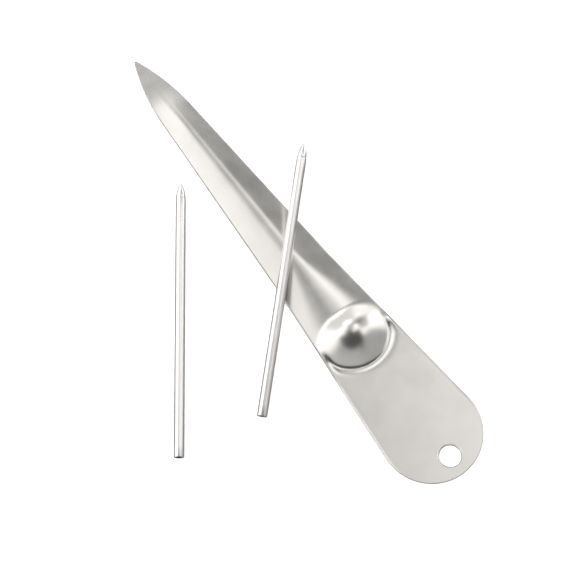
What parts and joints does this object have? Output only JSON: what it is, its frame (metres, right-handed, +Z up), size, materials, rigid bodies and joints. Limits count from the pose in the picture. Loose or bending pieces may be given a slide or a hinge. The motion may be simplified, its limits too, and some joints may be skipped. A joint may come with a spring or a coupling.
{
  "type": "garden dibber with hollow pins",
  "caption": "Flat stamped steel spike with a raised rib, an oval boss and a hanging hole, lying with slim hollow pointed needles, for opening and guiding cord or stems.",
  "frame": {"origin": "centre of the hanging hole on the underside of the blade, in the plane of the table that all the pieces lie on", "axes": "+X from the blade's point to its round end, +Z up from the table, +Y across the blade"},
  "size_m": [0.171, 0.0921, 0.0089],
  "materials": {
    "satin_steel": "satin stamped stainless sheet",
    "polished_steel": "bright drawn stainless tube"
  },
  "bodies": {
    "blade": {"blade": "satin_steel"},
    "left_needle": {"left_needle_tube": "polished_steel", "left_needle_point": "polished_steel"},
    "right_needle": {"right_needle_tube": "polished_steel", "right_needle_point": "polished_steel"}
  },
  "joints": [
    {"name": "left_needle_lift", "type": "slide", "parent": "blade", "child": "left_needle", "axis": [0, 0, 1], "range_m": [0, 0.05]},
    {"name": "right_needle_lift", "type": "slide", "parent": "blade", "child": "right_needle", "axis": [0, 0, 1], "range_m": [0, 0.05]}
  ]
}
